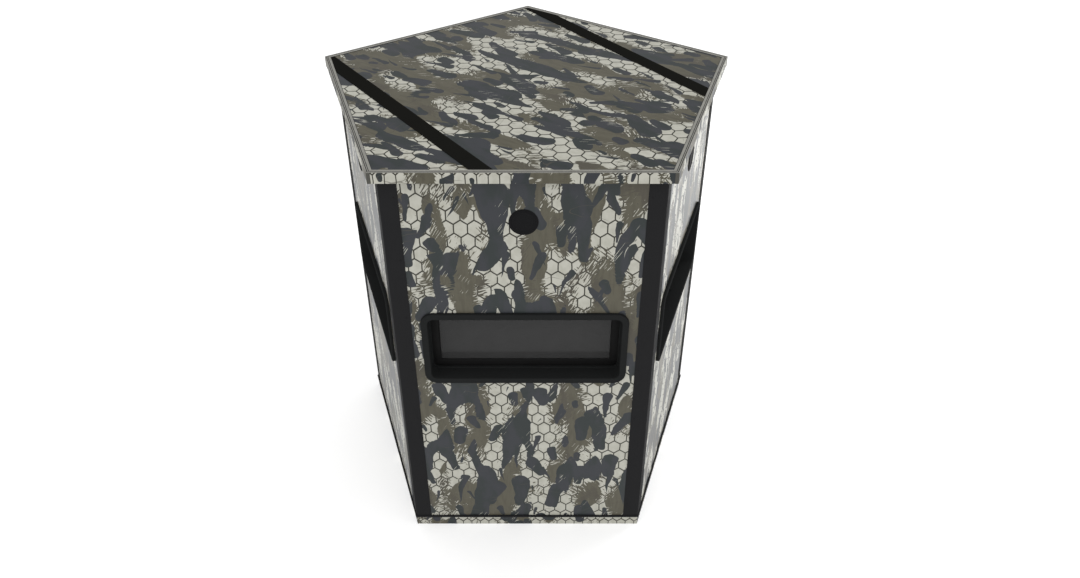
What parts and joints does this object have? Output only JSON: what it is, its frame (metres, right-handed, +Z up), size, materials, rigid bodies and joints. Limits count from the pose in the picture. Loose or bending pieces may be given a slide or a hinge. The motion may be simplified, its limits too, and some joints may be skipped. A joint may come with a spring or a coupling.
{
  "type": "hard-sided ground blind",
  "caption": "Five-sided hard-walled hunting blind with a flat seamed roof, framed hinged windows, round vents and a rear door, on a floor panel.",
  "frame": {"origin": "middle of the floor's underside, on the ground", "axes": "+Z up; the front window wall faces -Y; +X to the right as seen from in front"},
  "size_m": [1.9728, 1.8761, 2.1336],
  "materials": {
    "camo_panel": null,
    "black_trim": "black powder coat, fine texture",
    "black_moulding": "black moulded plastic, satin",
    "edge_trim": "satin grey on top, film-wrapped on its outer face",
    "tinted_glass": "grey tinted glass, polished",
    "hardware": "black coated steel, semi-gloss",
    "steel": "bright zinc-plated steel"
  },
  "bodies": {
    "shell": {"floor_panel": "camo_panel", "base_channel": "black_trim", "corner_trim_front_right": "black_trim", "corner_trim_right": "black_trim", "corner_trim_back": "black_trim", "corner_trim_left": "black_trim", "corner_trim_front_left": "black_trim", "roof_panel_left": "camo_panel", "roof_panel_middle": "camo_panel", "roof_panel_right": "camo_panel", "roof_batten_left": "black_trim", "roof_batten_right": "black_trim", "roof_edge_trim": "edge_trim", "wall_front": "camo_panel", "wall_right": "camo_panel", "wall_rear_right": "camo_panel", "wall_rear_left": "camo_panel", "wall_left": "camo_panel", "window_frame_front": "black_moulding", "window_clamp_front": "black_moulding", "window_hinge_rod_front": "steel", "vent_sleeve_front": "black_moulding", "window_frame_right": "black_moulding", "window_clamp_right": "black_moulding", "window_hinge_rod_right": "steel", "vent_sleeve_right": "black_moulding", "window_frame_left": "black_moulding", "window_clamp_left": "black_moulding", "window_hinge_rod_left": "steel", "vent_sleeve_left": "black_moulding", "window_frame_rear_left": "black_moulding", "window_clamp_rear_left": "black_moulding", "window_hinge_rod_rear_left": "steel", "vent_sleeve_rear_left": "black_moulding", "door_frame": "black_trim", "door_strike_plate": "steel", "door_hinge_pintle_lower": "hardware", "door_hinge_pintle_upper": "hardware"},
    "front_sash": {"window_sash_front": "black_moulding", "window_glass_front": "tinted_glass"},
    "front_latch": {"window_latch_front": "hardware"},
    "front_plug": {"vent_plug_front": "black_moulding"},
    "right_sash": {"window_sash_right": "black_moulding", "window_glass_right": "tinted_glass"},
    "right_latch": {"window_latch_right": "hardware"},
    "right_plug": {"vent_plug_right": "black_moulding"},
    "left_sash": {"window_sash_left": "black_moulding", "window_glass_left": "tinted_glass"},
    "left_latch": {"window_latch_left": "hardware"},
    "left_plug": {"vent_plug_left": "black_moulding"},
    "rear_left_sash": {"window_sash_rear_left": "black_moulding", "window_glass_rear_left": "tinted_glass"},
    "rear_left_latch": {"window_latch_rear_left": "hardware"},
    "rear_left_plug": {"vent_plug_rear_left": "black_moulding"},
    "door": {"door_panel": "camo_panel", "door_hinge_socket_lower": "hardware", "door_hinge_socket_upper": "hardware"},
    "door_levers": {"door_lever_outside": "hardware", "door_lever_inside": "hardware"},
    "bolt": {"door_bolt": "steel"}
  },
  "joints": [
    {"name": "front_sash_hinge", "type": "hinge", "parent": "shell", "child": "front_sash", "pos_m": [0, -0.71317, 1.40222], "axis": [1, 0, 0], "range_deg": [0, 170]},
    {"name": "front_latch_turn", "type": "hinge", "parent": "shell", "child": "front_latch", "pos_m": [0, -0.73757, 1.00832], "axis": [0, -1, 0], "range_deg": [0, 90]},
    {"name": "front_plug_pull", "type": "slide", "parent": "shell", "child": "front_plug", "axis": [0, -1, 0], "range_m": [0, 0.12]},
    {"name": "right_sash_hinge", "type": "hinge", "parent": "shell", "child": "right_sash", "pos_m": [0.67827, -0.22038, 1.40222], "axis": [0.309, 0.9511, 0], "range_deg": [0, 170]},
    {"name": "right_latch_turn", "type": "hinge", "parent": "shell", "child": "right_latch", "pos_m": [0.70147, -0.22792, 1.00832], "axis": [0.9511, -0.309, 0], "range_deg": [0, 90]},
    {"name": "right_plug_pull", "type": "slide", "parent": "shell", "child": "right_plug", "axis": [0.9511, -0.309, 0], "range_m": [0, 0.12]},
    {"name": "left_sash_hinge", "type": "hinge", "parent": "shell", "child": "left_sash", "pos_m": [-0.67827, -0.22038, 1.40222], "axis": [0.309, -0.9511, 0], "range_deg": [0, 170]},
    {"name": "left_latch_turn", "type": "hinge", "parent": "shell", "child": "left_latch", "pos_m": [-0.70147, -0.22792, 1.00832], "axis": [-0.9511, -0.309, 0], "range_deg": [0, 90]},
    {"name": "left_plug_pull", "type": "slide", "parent": "shell", "child": "left_plug", "axis": [-0.9511, -0.309, 0], "range_m": [0, 0.12]},
    {"name": "rear_left_sash_hinge", "type": "hinge", "parent": "shell", "child": "rear_left_sash", "pos_m": [-0.41919, 0.57697, 1.40222], "axis": [-0.809, -0.5878, 0], "range_deg": [0, 170]},
    {"name": "rear_left_latch_turn", "type": "hinge", "parent": "shell", "child": "rear_left_latch", "pos_m": [-0.43353, 0.59671, 1.00832], "axis": [-0.5878, 0.809, 0], "range_deg": [0, 90]},
    {"name": "rear_left_plug_pull", "type": "slide", "parent": "shell", "child": "rear_left_plug", "axis": [-0.5878, 0.809, 0], "range_m": [0, 0.12]},
    {"name": "door_hinge", "type": "hinge", "parent": "shell", "child": "door", "pos_m": [0.18937, 0.85865, 1.03], "axis": [0, 0, 1], "range_deg": [0, 110]},
    {"name": "door_lever_turn", "type": "hinge", "parent": "door", "child": "door_levers", "pos_m": [0.70142, 0.47204, 1.05], "axis": [0.5878, 0.809, 0], "range_deg": [0, 60]},
    {"name": "bolt_throw", "type": "slide", "parent": "door", "child": "bolt", "axis": [0.809, -0.5878, 0], "range_m": [0, 0.0161]}
  ],
  "couplings": [
    {"joint": "bolt_throw", "follows": "door_lever_turn", "m_per_rad": 0.015279}
  ]
}
